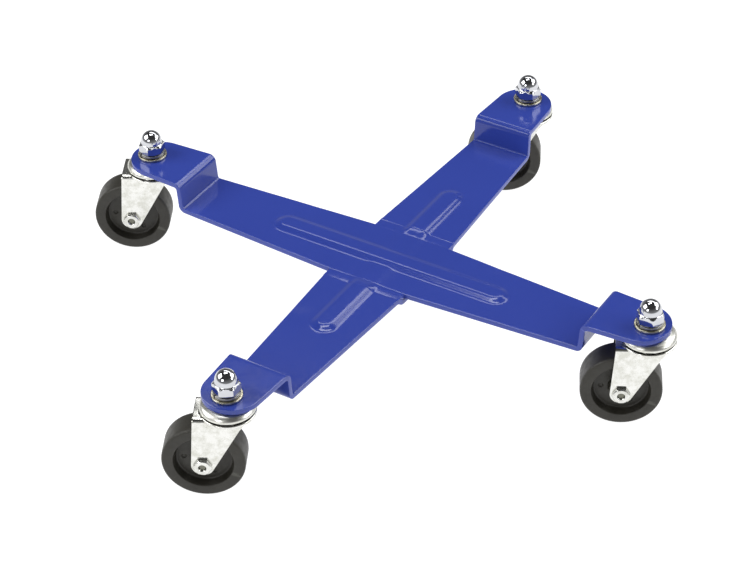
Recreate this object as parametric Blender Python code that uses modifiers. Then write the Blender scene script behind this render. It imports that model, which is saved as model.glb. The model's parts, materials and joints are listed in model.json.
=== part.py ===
"""Wheel dolly: two crossed pressed-steel bars carried by four swivel casters.

Metres, +Z up. Heights are given from the floor, and the empty "dolly" lowers all of it, so that the part's
origin is on the flat crest of the upper bar's bead, over the crossing. The upper bar runs straight from the rear
left corner to the front right one. The lower bar runs from the front left corner to the rear right one and dips
under it, and a weld seam on each side joins them. Front is -Y and right is +X. At rest every wheel trails to the left.
"""

import math

import bmesh
import bpy
from mathutils import Vector

MM = 0.001
GAP = 0.3 * MM                      # between touching pieces

# Driving dimensions: the plan
CASTER_SPACING = 324.8 * MM         # kingpin to kingpin along a side of the square
TRAIL_ANGLE = math.radians(162.5)   # rest direction of every trailing wheel, from +X
PLATE_TOP = 65.7 * MM               # top of the bars between the crossing and the bends
PAD_TOP = 87.9 * MM                 # top of the raised pads over the casters

# Driving dimensions: the bars
PLATE = 4.0 * MM
CROSS_HALF_WIDTH = 34.7 * MM
NOSE_RADIUS = 23.6 * MM
NOSE_CENTRE = 222.4 * MM
WALL_FOOT = 182.5 * MM              # where the step's wall would meet the flat plate
WALL_HEAD = 184.5 * MM              # where it would meet the pad
TIGHT_BEND = 2.0 * MM
WIDE_BEND = TIGHT_BEND + PLATE
BEAD_HEIGHT = 2.5 * MM
BEAD_CREST = 5.0 * MM               # half width of the flat top of a bead
BEAD_FOOT = 12.5 * MM               # half width of its base
BEAD_END = 109.0 * MM
SADDLE_HEIGHT = 0.8 * MM            # the lower bar's bead under the crossing, and the upper bar's hump over it
SADDLE_FOOT = 17.0 * MM
DIP = PLATE + GAP                   # the lower bar passes this far under the upper one
DIP_START = CROSS_HALF_WIDTH + 0.7 * MM
DIP_END = DIP_START + 8.0 * MM
DIP_SHARES = (0.3, 0.5, 0.7)        # of the way up the dip, where its slope is drawn

# Driving dimensions: the weld seams, which fill the dips flush with both bars
SEAM_END = 33.5 * MM                # half length, across the lower bar
SEAM_TOE = 6.8 * MM                 # where it thins out on the arm, from the upper bar's edge
SEAM_CROWN = (1.6 * MM, 4.6 * MM)   # its mound, from the upper bar's edge
SEAM_RISE = 0.4 * MM
SEAM_CLEARANCE = 2 * GAP            # over the sloping dip

# Driving dimensions: the fixings over the pads
PIN_HOLE = 6.5 * MM                 # in the bars and the washers
WASHER_RADIUS = 12.0 * MM
WASHER_TOP = PAD_TOP + 2.3 * MM
SPRING_RADIUS = 10.4 * MM
SPRING_TOP = WASHER_TOP + 2.6 * MM
SPRING_SLOT = 1.2 * MM
NUT_FLATS = 19.0 * MM
NUT_SHOULDER = PAD_TOP + 13.0 * MM
NUT_DOME = 8.6 * MM
NUT_TOP = PAD_TOP + 23.6 * MM
STEM_TOP = PAD_TOP + 16.5 * MM

# Driving dimensions: the caster
WHEEL_RADIUS = 31.75 * MM
WHEEL_WIDTH = 22.2 * MM
TRAIL = 19.4 * MM                   # axle behind the kingpin
KINGPIN_RADIUS = 6.0 * MM
KINGPIN_HEAD = 8.6 * MM
HEAD_PLATE = 1.0 * MM
HEAD_TOP = 69.7 * MM                # of the kingpin's head, clear of the wheel
CUP_RADIUS = 21.5 * MM
CUP_RIM = 77.7 * MM
CUP_SHEET = 1.8 * MM
LOWER_CUP_SHEET = 1.2 * MM
LOWER_CUP_FLOOR = 10.0 * MM         # radius of its flat floor
LOWER_CUP_RADIUS = 11.6 * MM
LOWER_CUP_WALL = 0.9 * MM
LOWER_CUP_RIM = 1.7 * MM            # height of its rim over its floor
FORK_WIDTH = 29.4 * MM
FORK_PLATE = 2.4 * MM
FORK_BEND = 3.4 * MM
CROWN_TOP = 75.6 * MM
CROWN_DOME = 2.4 * MM               # the crown's raised middle
DOME_TOP = 10.4 * MM                # radius of its flat top
DOME_FOOT = 12.9 * MM
CROWN_BORE = 6.8 * MM
LEG_END_RADIUS = 8.7 * MM
LEG_TOP_REACH = 25.2 * MM           # the channel's wheel side, from the kingpin
SLANT_TOP = (-9.5 * MM, 66.5 * MM)  # where the legs' slanted edge meets the crown
AXLE_RADIUS = 3.95 * MM
AXLE_END = FORK_WIDTH / 2 + 7.6 * MM
AXLE_FLATS = 12.7 * MM
AXLE_HEAD = 2.8 * MM
AXLE_DIMPLE = 2.2 * MM              # radius of the dimple in the bolt's head
AXLE_EDGE = 0.8 * MM                # chamfer of the hexagons, and depth of the dimple
AXLE_NUT_HEX = 4.2 * MM
AXLE_NUT_TOP = 6.4 * MM
AXLE_NUT_COLLAR = 5.4 * MM
SLEEVE_RADIUS = 6.35 * MM
HUB_RADIUS = 9.6 * MM
WEB_ROOT = (10.4 * MM, 6.4 * MM)    # radius, and depth below the wheel's side
WEB_EDGE = (20.4 * MM, 7.0 * MM)
RIM_RADIUS = 22.9 * MM              # inner radius of the wheel's flat side
TREAD_EDGE = 1.6 * MM
UPPER_RACE = 15.3 * MM              # ring radius of the load-carrying balls
UPPER_BALL = 2.45 * MM
LOWER_RACE = 8.8 * MM
LOWER_BALL = 1.6 * MM
CAGE_THICKNESS = 0.3                # of the ball's

KINGPIN_REACH = CASTER_SPACING / math.sqrt(2)
UPPER_YAW = math.radians(-45)
LOWER_YAW = math.radians(45)
SLOT_TURN = math.radians(200)       # where the spring washers' splits face
CREST_TOP = PLATE_TOP + BEAD_HEIGHT
CROWN_UNDER = CROWN_TOP - FORK_PLATE
UPRIGHT = (math.radians(90), 0, 0)                    # an outline's x, y become the piece's x, z
ACROSS = (math.radians(90), 0, math.radians(90))      # an outline's x, y become the piece's y, z

CORNERS = {
    "front_left": (-1, -1),
    "front_right": (1, -1),
    "rear_left": (-1, 1),
    "rear_right": (1, 1),
}
# How far each cap nut happened to be turned when it came tight, in degrees
NUT_TURNS = {"front_left": -13.5, "front_right": 22.3, "rear_left": 2.4, "rear_right": -24.8}


# ---------------------------------------------------------------- scene and materials

def clear_scene():
    for obj in list(bpy.data.objects):
        bpy.data.objects.remove(obj, do_unlink=True)


def new_collection(name):
    made = bpy.data.collections.new(name)
    bpy.context.scene.collection.children.link(made)
    return made


def new_material(name, colour, metallic, roughness):
    made = bpy.data.materials.new(name)
    made.use_nodes = True
    shader = made.node_tree.nodes["Principled BSDF"]
    shader.inputs["Base Color"].default_value = (*colour, 1)
    shader.inputs["Metallic"].default_value = metallic
    shader.inputs["Roughness"].default_value = roughness
    return made


def new_object(name, data, parent=None, location=(0, 0, 0), rotation=(0, 0, 0)):
    obj = bpy.data.objects.new(name, data)
    PARTS.objects.link(obj)
    obj.parent = parent
    obj.location = location
    obj.rotation_euler = rotation
    return obj


def finish(obj, material):
    """Gives a finished piece its own material and smooth shading."""
    own = material.copy()
    own.name = obj.name
    obj.data.materials.clear()
    obj.data.materials.append(own)
    obj.data.shade_smooth()
    obj.data.set_sharp_from_angle(angle=math.radians(30))
    return obj


# ---------------------------------------------------------------- modelling tools

def arc(centre, radius, start, end, steps):
    """Points of an arc in a plane, with the angles in degrees."""
    turns = [math.radians(start + (end - start) * i / steps) for i in range(steps + 1)]
    return [(centre[0] + radius * math.cos(t), centre[1] + radius * math.sin(t)) for t in turns]


def turned(name, profile, steps, parent=None, location=(0, 0, 0), rotation=(0, 0, 0)):
    """A closed (radius, height) profile turned about Z. It runs down the outer side."""
    mesh = bpy.data.meshes.new(name)
    count = len(profile)
    on_axis = profile[0][0] == 0
    edges = [(i, (i + 1) % count) for i in range(count - 1 if on_axis else count)]
    mesh.from_pydata([(radius, 0, height) for radius, height in profile], edges, [])
    obj = new_object(name, mesh, parent, location, rotation)
    screw = obj.modifiers.new("turn", "SCREW")
    screw.steps = screw.render_steps = steps
    screw.use_merge_vertices = True
    screw.merge_threshold = 0.00001
    return obj


def extruded(name, outline, depth, parent=None, location=(0, 0, 0), rotation=(0, 0, 0)):
    """A flat outline given a depth, half to each side, as a welded mesh."""
    curve = bpy.data.curves.new(name, "CURVE")
    curve.dimensions = "2D"
    curve.fill_mode = "BOTH"
    curve.extrude = depth / 2
    spline = curve.splines.new("POLY")
    spline.points.add(len(outline) - 1)
    spline.use_cyclic_u = True
    for point, (x, y) in zip(spline.points, outline):
        point.co = (x, y, 0, 1)
    guide = new_object(name + "_outline", curve)
    mesh = bpy.data.meshes.new_from_object(guide.evaluated_get(bpy.context.evaluated_depsgraph_get()))
    bpy.data.objects.remove(guide)
    bm = bmesh.new()
    bm.from_mesh(mesh)
    bmesh.ops.remove_doubles(bm, verts=bm.verts, dist=0.00001)
    bmesh.ops.recalc_face_normals(bm, faces=bm.faces)
    bm.to_mesh(mesh)
    bm.free()
    return new_object(name, mesh, parent, location, rotation)


def as_cutter(obj):
    obj.hide_render = True
    obj.display_type = "WIRE"
    PARTS.objects.unlink(obj)
    CUTTERS.objects.link(obj)
    return obj


def combine(obj, operation, other):
    """Adds a Boolean with the other object, which becomes a helper."""
    as_cutter(other)
    boolean = obj.modifiers.new(operation.lower(), "BOOLEAN")
    boolean.operation = operation
    boolean.solver = "EXACT"
    boolean.object = other
    return obj


def rod(name, radius, bottom, top, steps, parent=None, location=(0, 0, 0), rotation=(0, 0, 0)):
    profile = [(0, top), (radius, top), (radius, bottom), (0, bottom)]
    return turned(name, profile, steps, parent, location, rotation)


def hexed(name, profile, flats, steps, parent, location=(0, 0, 0), rotation=(0, 0, 0)):
    """A turned shape trimmed to a hexagon of this width across flats, as a nut or a bolt's head is."""
    obj = turned(name, profile, steps, parent, location, rotation)
    heights = [height for _, height in profile]
    corner = flats / math.sqrt(3)
    hexagon = arc((0, 0), corner, 0, 300, 5)
    middle = Vector((0, 0, (max(heights) + min(heights)) / 2))
    depth = max(heights) - min(heights) + 2 * MM
    prism = extruded(name + "_hexagon", hexagon, depth, obj, middle)
    return combine(obj, "INTERSECT", prism)


# ---------------------------------------------------------------- bars

def ease(value):
    """0 below 0, 1 above 1, and a smooth step between."""
    value = min(max(value, 0), 1)
    return value * value * (3 - 2 * value)


def bead_rise(along, across):
    """The pressed bead: its height at a point of the bar, with a round end in plan."""
    past_end = max(abs(along) - (BEAD_END - BEAD_FOOT), 0)
    out = math.hypot(past_end, across)
    return BEAD_HEIGHT * ease((BEAD_FOOT - out) / (BEAD_FOOT - BEAD_CREST))


def upper_rise(along, across):
    saddle = SADDLE_HEIGHT * ease((SADDLE_FOOT - abs(along)) / (SADDLE_FOOT - BEAD_CREST))
    return max(bead_rise(along, across), saddle)


def dip(along):
    """How deep the lower bar runs below its arms."""
    return DIP * ease((DIP_END - abs(along)) / (DIP_END - DIP_START))


def lower_rise(along, across):
    squeeze = 1 - (1 - SADDLE_HEIGHT / BEAD_HEIGHT) * dip(along) / DIP
    return bead_rise(along, across) * squeeze - dip(along)


def half_width(along):
    taper = (abs(along) - CROSS_HALF_WIDTH) / (NOSE_CENTRE - CROSS_HALF_WIDTH)
    return CROSS_HALF_WIDTH + (NOSE_RADIUS - CROSS_HALF_WIDTH) * min(max(taper, 0), 1)


def step_profile():
    """(distance along, height) from the flat plate up the step to the pad, with a tight and a wide bend."""
    lean = math.atan2(PAD_TOP - PLATE_TOP, WALL_HEAD - WALL_FOOT)
    setback = math.tan(lean / 2)
    lean = math.degrees(lean)
    foot = (WALL_FOOT - TIGHT_BEND * setback, PLATE_TOP + TIGHT_BEND)
    head = (WALL_HEAD + WIDE_BEND * setback, PAD_TOP - WIDE_BEND)
    return arc(foot, TIGHT_BEND, -90, lean - 90, 2) + arc(head, WIDE_BEND, lean + 90, 90, 4)


def half_stations():
    """The sections of one half of a bar, from the middle outwards: (distance along, height)."""
    flat = [0, BEAD_CREST, (BEAD_CREST + SADDLE_FOOT) / 2, SADDLE_FOOT, DIP_START]
    flat += [DIP_START + (DIP_END - DIP_START) * share for share in DIP_SHARES] + [DIP_END]
    flat += [BEAD_END - BEAD_FOOT, BEAD_END - BEAD_FOOT / 2, BEAD_END]
    return [(along, PLATE_TOP) for along in flat] + step_profile() + [(NOSE_CENTRE, PAD_TOP)]


def bar(name, rise, yaw):
    """A bar along its own X: a sheet of sections, thickened downwards, with a hole over each kingpin."""
    half = half_stations()
    stations = [(-along, height) for along, height in reversed(half[1:])] + half
    nose_steps = 4
    rows = len(stations) + 2 * nose_steps
    across = [-1, -BEAD_FOOT / NOSE_RADIUS, -BEAD_CREST / NOSE_RADIUS]
    across += [-side for side in reversed(across)]

    bm = bmesh.new()
    grid = []
    for row in range(rows):
        line = []
        past_nose = max(nose_steps - row, row - (rows - 1 - nose_steps), 0) / nose_steps
        inner = min(max(row - nose_steps, 0), len(stations) - 1)
        along, height = stations[inner]
        for side in across:
            # A square grid bent onto a half disc makes the round nose.
            x = along + math.copysign(NOSE_RADIUS * past_nose * math.sqrt(1 - side * side / 2), along)
            width = half_width(along)
            y = side * width * math.sqrt(1 - past_nose * past_nose / 2)
            if abs(side) < 1 and not past_nose:
                y = side * NOSE_RADIUS
            line.append(bm.verts.new((x, y, height + rise(x, y))))
        grid.append(line)
    for near, far in zip(grid, grid[1:]):
        for i in range(len(across) - 1):
            bm.faces.new((near[i], far[i], far[i + 1], near[i + 1]))
    mesh = bpy.data.meshes.new(name)
    bm.to_mesh(mesh)
    bm.free()

    obj = new_object(name, mesh, DOLLY, rotation=(0, 0, yaw))
    solidify = obj.modifiers.new("thickness", "SOLIDIFY")
    solidify.thickness = PLATE
    solidify.offset = -1
    solidify.use_even_offset = True
    for end in (-1, 1):
        hole = rod(f"{name}_hole_{end}", PIN_HOLE, PAD_TOP - 2 * PLATE, PAD_TOP + PLATE, 20, obj,
                   (end * KINGPIN_REACH, 0, 0))
        combine(obj, "DIFFERENCE", hole)
    return finish(obj, BLUE_PAINT)


def weld_seam(name, end):
    """A seam along one edge of the upper bar, laid in the lower bar's dip. Its X runs along the lower bar."""
    face = CROSS_HALF_WIDTH + GAP
    slope = [DIP_START + (DIP_END - DIP_START) * share for share in DIP_SHARES]
    across = [-SEAM_END, -BEAD_FOOT, -BEAD_CREST, BEAD_CREST, BEAD_FOOT, SEAM_END]
    bm = bmesh.new()
    rings = []
    for y in across:
        at_edge = upper_rise(y, face)
        at_toe = bead_rise(DIP_END, y)
        section = [(face, lower_rise(face, y) + SEAM_CLEARANCE + GAP)]
        section += [(x, lower_rise(x, y) + SEAM_CLEARANCE) for x in slope]
        section += [(face + SEAM_TOE, at_toe)]
        for reach in reversed(SEAM_CROWN):
            share = reach / SEAM_TOE
            section += [(face + reach, at_edge * (1 - share) + at_toe * share + SEAM_RISE)]
        section += [(face, at_edge)]
        rings.append([bm.verts.new((end * x, y, PLATE_TOP + rise)) for x, rise in section])
    count = len(rings[0])
    for near, far in zip(rings, rings[1:]):
        for i in range(count):
            j = (i + 1) % count
            bm.faces.new((near[i], near[j], far[j], far[i]))
    bm.faces.new(rings[0])
    bm.faces.new(rings[-1])
    bmesh.ops.recalc_face_normals(bm, faces=bm.faces)
    mesh = bpy.data.meshes.new(name)
    bm.to_mesh(mesh)
    bm.free()
    return finish(new_object(name, mesh, DOLLY, rotation=(0, 0, LOWER_YAW)), BLUE_PAINT)


# ---------------------------------------------------------------- caster pieces, about the kingpin

def cap_nut(name, kingpin, turn):
    """A hexagon nut closed by a dome, with a blind bore."""
    bottom = SPRING_TOP + GAP
    bore = KINGPIN_RADIUS + GAP
    corner = NUT_FLATS / math.sqrt(3)
    profile = arc((0, NUT_TOP - NUT_DOME), NUT_DOME, 90, 0, 4)
    profile[0] = (0, NUT_TOP)
    profile += [(NUT_DOME, NUT_SHOULDER), (NUT_FLATS / 2, NUT_SHOULDER), (corner, NUT_SHOULDER - 1 * MM)]
    profile += [(corner, bottom), (bore, bottom), (bore, STEM_TOP + GAP), (0, STEM_TOP + GAP)]
    turned_nut = hexed(name, profile, NUT_FLATS, 18, kingpin, rotation=(0, 0, math.radians(turn)))
    return finish(turned_nut, CHROME)


def washer(name, kingpin):
    bottom = PAD_TOP + GAP
    profile = [(PIN_HOLE, WASHER_TOP), (WASHER_RADIUS, WASHER_TOP)]
    profile += [(WASHER_RADIUS, bottom), (PIN_HOLE, bottom)]
    return finish(turned(name, profile, 20, kingpin), ZINC)


def spring_washer(name, kingpin):
    """A split locking washer between the flat washer and the nut."""
    bottom = WASHER_TOP + GAP
    profile = [(PIN_HOLE, SPRING_TOP), (SPRING_RADIUS, SPRING_TOP)]
    profile += [(SPRING_RADIUS, bottom), (PIN_HOLE, bottom)]
    ring = turned(name, profile, 20, kingpin)
    outline = [(0, -SPRING_SLOT / 2), (2 * SPRING_RADIUS, -SPRING_SLOT / 2)]
    outline += [(2 * SPRING_RADIUS, SPRING_SLOT / 2), (0, SPRING_SLOT / 2)]
    slot = extruded(name + "_slot", outline, 20 * MM, kingpin, (0, 0, bottom), (0, 0, SLOT_TURN))
    return finish(combine(ring, "DIFFERENCE", slot), STEEL)


def stem(name, kingpin):
    """The kingpin: a thin round head under the lower cup, and a shank up into the cap nut."""
    radius = KINGPIN_RADIUS
    profile = [(0, STEM_TOP), (radius - 1 * MM, STEM_TOP), (radius, STEM_TOP - 1 * MM)]
    under = HEAD_TOP - HEAD_PLATE
    profile += [(radius, HEAD_TOP), (KINGPIN_HEAD, HEAD_TOP), (KINGPIN_HEAD, under), (0, under)]
    return finish(turned(name, profile, 16, kingpin), STEEL)


def top_cup(name, kingpin):
    """The pressed cup under the pad, open downwards, that the upper balls run in."""
    bore = KINGPIN_RADIUS + GAP
    top = PAD_TOP - PLATE - GAP
    flat = CUP_RADIUS - 7 * MM
    inner = CUP_RADIUS - CUP_SHEET
    profile = [(bore, top), (flat, top), (flat + 5 * MM, top - 1.8 * MM), (CUP_RADIUS, top - 4 * MM)]
    profile += [(CUP_RADIUS, CUP_RIM), (inner, CUP_RIM), (inner, top - 4 * MM)]
    profile += [(flat + 3.6 * MM, top - 1.8 * MM - CUP_SHEET / 2), (flat - 1 * MM, top - CUP_SHEET)]
    profile += [(bore, top - CUP_SHEET)]
    return finish(turned(name, profile, 24, kingpin), ZINC)


def ball_ring(name, race, ball, height, count, sides, kingpin):
    """Balls held in a wire cage: one cyclic tube whose thickness swells at each ball."""
    swell = [(-0.96, CAGE_THICKNESS), (-0.5, 0.87), (0.5, 0.87), (0.96, CAGE_THICKNESS)]
    curve = bpy.data.curves.new(name, "CURVE")
    curve.dimensions = "3D"
    curve.bevel_depth = ball
    curve.bevel_resolution = sides // 2 - 2
    spline = curve.splines.new("POLY")
    spline.points.add(count * len(swell) - 1)
    spline.use_cyclic_u = True
    for i, point in enumerate(spline.points):
        offset, thickness = swell[i % len(swell)]
        turn = math.tau * (i // len(swell)) / count + offset * ball / race
        point.co = (race * math.cos(turn), race * math.sin(turn), 0, 1)
        point.radius = thickness
    obj = new_object(name, curve, kingpin, (0, 0, height))
    curve.materials.append(STEEL.copy())
    curve.materials[0].name = name
    return obj


def lower_cup(name, kingpin):
    """The small cup riveted on the kingpin, which holds the lower balls up against the crown."""
    bore = KINGPIN_RADIUS + GAP
    floor = HEAD_TOP + GAP + LOWER_CUP_SHEET
    rim = floor + LOWER_CUP_RIM
    inner = LOWER_CUP_RADIUS - LOWER_CUP_WALL
    profile = [(bore, floor), (LOWER_CUP_FLOOR, floor), (inner, rim), (LOWER_CUP_RADIUS, rim)]
    profile += [(inner, HEAD_TOP + GAP), (bore, HEAD_TOP + GAP)]
    return finish(turned(name, profile, 18, kingpin), ZINC)


def fork(name, swivel):
    """One pressed plate: a channel trimmed to the legs' outline, joined to a round crown with a raised middle."""
    half = FORK_WIDTH / 2
    inner_bend = FORK_BEND - FORK_PLATE
    bend_height = CROWN_TOP - FORK_BEND
    foot = WHEEL_RADIUS - LEG_END_RADIUS - 1 * MM

    outer = [(-half, foot)] + arc((FORK_BEND - half, bend_height), FORK_BEND, 180, 90, 2)
    outer += arc((half - FORK_BEND, bend_height), FORK_BEND, 90, 0, 2) + [(half, foot)]
    inner = [(half - FORK_PLATE, foot)] + arc((half - FORK_BEND, bend_height), inner_bend, 0, 90, 1)
    inner += arc((FORK_BEND - half, bend_height), inner_bend, 90, 180, 1) + [(FORK_PLATE - half, foot)]
    channel = extruded(name, outer + inner, 4 * CUP_RADIUS, swivel, (TRAIL, 0, 0), ACROSS)

    to_axle = Vector((TRAIL, WHEEL_RADIUS)) - Vector(SLANT_TOP)
    tangent = math.degrees(math.atan2(to_axle.y, to_axle.x)) - 90
    tangent -= math.degrees(math.asin(LEG_END_RADIUS / to_axle.length))
    side = [(LEG_TOP_REACH, CROWN_TOP + 1 * MM), (-12 * MM, CROWN_TOP + 1 * MM), SLANT_TOP]
    side += arc((TRAIL, WHEEL_RADIUS), LEG_END_RADIUS, tangent, 0, 6)
    combine(channel, "INTERSECT", extruded(name + "_legs", side, 2 * FORK_WIDTH, swivel, rotation=UPRIGHT))

    dome = [(DOME_TOP, CROWN_TOP + CROWN_DOME), (DOME_FOOT, CROWN_TOP)]
    opening = rod(name + "_opening", DOME_FOOT + 0.5 * MM, CROWN_UNDER - 1 * MM, CROWN_TOP + 1 * MM, 24, swivel)
    combine(channel, "DIFFERENCE", opening)
    profile = [(CROWN_BORE, CROWN_TOP + CROWN_DOME)] + dome
    profile += [(CUP_RADIUS - 0.6 * MM, CROWN_TOP), (CUP_RADIUS, CROWN_TOP - 0.6 * MM), (CUP_RADIUS, CROWN_UNDER)]
    profile += [(radius, height - FORK_PLATE) for radius, height in reversed(dome)]
    profile += [(CROWN_BORE, CROWN_UNDER + CROWN_DOME)]
    combine(channel, "UNION", turned(name + "_crown", profile, 28, swivel))
    axle_hole = rod(name + "_axle_hole", AXLE_RADIUS + GAP, -FORK_WIDTH, FORK_WIDTH, 12, swivel,
                    (TRAIL, 0, WHEEL_RADIUS), UPRIGHT)
    return finish(combine(channel, "DIFFERENCE", axle_hole), ZINC)


# ---------------------------------------------------------------- caster pieces, about the axle

def axle_bolt(name, axle):
    """A hexagon bolt through both legs. Its head is on the front leg, with a round dimple."""
    seat = FORK_WIDTH / 2 + GAP
    face = seat + AXLE_HEAD
    corner = AXLE_FLATS / math.sqrt(3)
    profile = [(0, face - AXLE_EDGE), (AXLE_DIMPLE, face), (AXLE_FLATS / 2 - AXLE_EDGE, face)]
    profile += [(corner, face - AXLE_EDGE), (corner, seat)]
    profile += [(AXLE_RADIUS, seat), (AXLE_RADIUS, -AXLE_END), (0, -AXLE_END)]
    return finish(hexed(name, profile, AXLE_FLATS, 12, axle, rotation=UPRIGHT), ZINC)


def axle_nut(name, axle):
    """A locking nut on the rear leg, with a round collar."""
    seat = -FORK_WIDTH / 2 - GAP
    bore = AXLE_RADIUS + GAP
    corner = AXLE_FLATS / math.sqrt(3)
    shoulder = seat - AXLE_NUT_HEX
    top = seat - AXLE_NUT_TOP
    profile = [(bore, seat), (corner, seat), (corner, shoulder), (AXLE_NUT_COLLAR, shoulder - AXLE_EDGE)]
    profile += [(AXLE_NUT_COLLAR, top), (bore, top)]
    return finish(hexed(name, profile, AXLE_FLATS, 12, axle, rotation=UPRIGHT), ZINC)


def axle_sleeve(name, axle):
    """The tube that the legs clamp and the wheel turns on."""
    end = FORK_WIDTH / 2 - FORK_PLATE - GAP
    bore = AXLE_RADIUS + GAP
    profile = [(bore, end), (SLEEVE_RADIUS, end), (SLEEVE_RADIUS, -end), (bore, -end)]
    return finish(turned(name, profile, 16, axle, rotation=UPRIGHT), STEEL)


def wheel(name, spin):
    """A moulded wheel: flat tread with eased edges, a dished web on each side and a hub."""
    half = WHEEL_WIDTH / 2
    hub = half + GAP
    bore = SLEEVE_RADIUS + GAP
    side = [(bore, hub), (HUB_RADIUS, hub)] + [(radius, half - depth) for radius, depth in (WEB_ROOT, WEB_EDGE)]
    side += [(RIM_RADIUS, half), (WHEEL_RADIUS - TREAD_EDGE, half), (WHEEL_RADIUS, half - TREAD_EDGE)]
    profile = side + [(radius, -height) for radius, height in reversed(side)]
    return finish(turned(name, profile, 28, spin, rotation=UPRIGHT), BLACK_MOULDING)


# ---------------------------------------------------------------- assembly

def new_pivot(name, parent, location, rotation=(0, 0, 0)):
    pivot = new_object(name, None, parent, location, rotation)
    pivot.empty_display_size = 20 * MM
    return pivot


def caster(corner, side):
    """The pieces fixed to the bar stand on the kingpin; the fork swivels on it and carries the wheel."""
    x, y = (sign * CASTER_SPACING / 2 for sign in side)
    kingpin = new_pivot(corner + "_kingpin_axis", DOLLY, (x, y, 0))
    swivel = new_pivot(corner + "_swivel_axis", kingpin, (0, 0, 0), (0, 0, TRAIL_ANGLE))
    # The axle's front end is the left side of the trailing direction.
    axle = new_pivot(corner + "_axle_axis", swivel, (TRAIL, 0, WHEEL_RADIUS), (0, 0, math.pi))
    spin = new_pivot(corner + "_wheel_axis", axle, (0, 0, 0))

    cap_nut(corner + "_cap_nut", kingpin, NUT_TURNS[corner])
    spring_washer(corner + "_spring_washer", kingpin)
    washer(corner + "_washer", kingpin)
    top_cup(corner + "_top_cup", kingpin)
    stem(corner + "_stem", kingpin)
    lower_cup(corner + "_lower_cup", kingpin)
    upper_height = CROWN_TOP + GAP + UPPER_BALL
    lower_height = HEAD_TOP + 2 * GAP + LOWER_CUP_SHEET + LOWER_BALL
    ball_ring(corner + "_upper_balls", UPPER_RACE, UPPER_BALL, upper_height, 9, 6, kingpin)
    ball_ring(corner + "_lower_balls", LOWER_RACE, LOWER_BALL, lower_height, 7, 6, kingpin)
    fork(corner + "_fork", swivel)
    axle_bolt(corner + "_axle_bolt", axle)
    axle_nut(corner + "_axle_nut", axle)
    axle_sleeve(corner + "_axle_sleeve", axle)
    wheel(corner + "_wheel", spin)


clear_scene()
PARTS = new_collection("wheel_dolly")
CUTTERS = new_collection("cutters")
BLUE_PAINT = new_material("blue_paint", (0.04, 0.06, 0.32), 0.0, 0.3)
CHROME = new_material("chrome", (0.85, 0.86, 0.88), 1.0, 0.06)
ZINC = new_material("zinc", (0.78, 0.78, 0.74), 1.0, 0.28)
STEEL = new_material("steel", (0.6, 0.6, 0.6), 1.0, 0.3)
BLACK_MOULDING = new_material("black_moulding", (0.035, 0.034, 0.028), 0.0, 0.55)

DOLLY = new_pivot("dolly", None, (0, 0, -CREST_TOP))
bar("upper_bar", upper_rise, UPPER_YAW)
bar("lower_bar", lower_rise, LOWER_YAW)
weld_seam("front_weld", -1)
weld_seam("rear_weld", 1)
for corner_name, corner_side in CORNERS.items():
    caster(corner_name, corner_side)
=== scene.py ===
"""Looks of the wheel dolly: pressed and painted bars, plated casters, chrome nuts and moulded wheels.

Metres, +Z up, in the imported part's own frame. Every visible piece is built here in finer mesh than the CAD
solid it stands for, at the same size and place. Front is -Y and right is +X.
"""

import json
import math

import bmesh
import bpy
import numpy as np
from mathutils import Matrix, Vector, noise


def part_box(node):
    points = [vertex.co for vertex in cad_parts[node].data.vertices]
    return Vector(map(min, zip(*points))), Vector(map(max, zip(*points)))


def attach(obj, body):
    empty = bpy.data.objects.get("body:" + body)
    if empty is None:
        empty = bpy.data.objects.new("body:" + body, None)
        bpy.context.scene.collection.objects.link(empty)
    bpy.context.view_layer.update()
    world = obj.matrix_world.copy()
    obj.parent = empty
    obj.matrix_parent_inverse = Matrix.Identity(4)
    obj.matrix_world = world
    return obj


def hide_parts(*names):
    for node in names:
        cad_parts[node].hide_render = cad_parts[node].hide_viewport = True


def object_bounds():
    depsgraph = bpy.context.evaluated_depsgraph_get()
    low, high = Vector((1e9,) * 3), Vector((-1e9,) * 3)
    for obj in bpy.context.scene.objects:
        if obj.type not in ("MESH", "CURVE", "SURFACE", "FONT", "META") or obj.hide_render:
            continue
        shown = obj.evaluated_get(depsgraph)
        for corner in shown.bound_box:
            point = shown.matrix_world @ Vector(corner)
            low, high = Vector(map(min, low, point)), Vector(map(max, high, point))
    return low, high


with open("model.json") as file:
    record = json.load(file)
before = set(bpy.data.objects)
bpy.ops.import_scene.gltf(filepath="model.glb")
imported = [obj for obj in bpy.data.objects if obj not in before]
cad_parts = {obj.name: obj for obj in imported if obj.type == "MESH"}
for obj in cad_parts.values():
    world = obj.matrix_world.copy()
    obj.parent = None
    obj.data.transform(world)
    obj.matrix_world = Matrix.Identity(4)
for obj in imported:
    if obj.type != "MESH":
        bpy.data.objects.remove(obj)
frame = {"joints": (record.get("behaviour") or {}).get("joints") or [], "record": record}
CAD_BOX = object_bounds()

MM = 0.001
CORNERS = ("front_left", "front_right", "rear_left", "rear_right")
JOINTS = {joint["name"]: joint for joint in frame["joints"]}
MOUNTS = {mount["name"]: mount for mount in frame["record"]["mounts"]}


# ---------------------------------------------------------------- places and sizes from the frame

def top(node):
    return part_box(node)[1].z


def bottom(node):
    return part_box(node)[0].z


def outer_radius(node):
    low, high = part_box(node)
    return (high.x - low.x) / 2


FLOOR = CAD_BOX[0][2]
SWIVELS = {corner: Vector(JOINTS[corner + "_swivel"]["pos_m"]) for corner in CORNERS}
AXLES = {corner: Vector(JOINTS[corner + "_wheel_spin"]["pos_m"]) for corner in CORNERS}
TRAIL = (AXLES["front_left"] - SWIVELS["front_left"]).to_2d()
TRAILING = Matrix.Rotation(math.atan2(TRAIL.y, TRAIL.x), 4, "Z")
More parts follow.
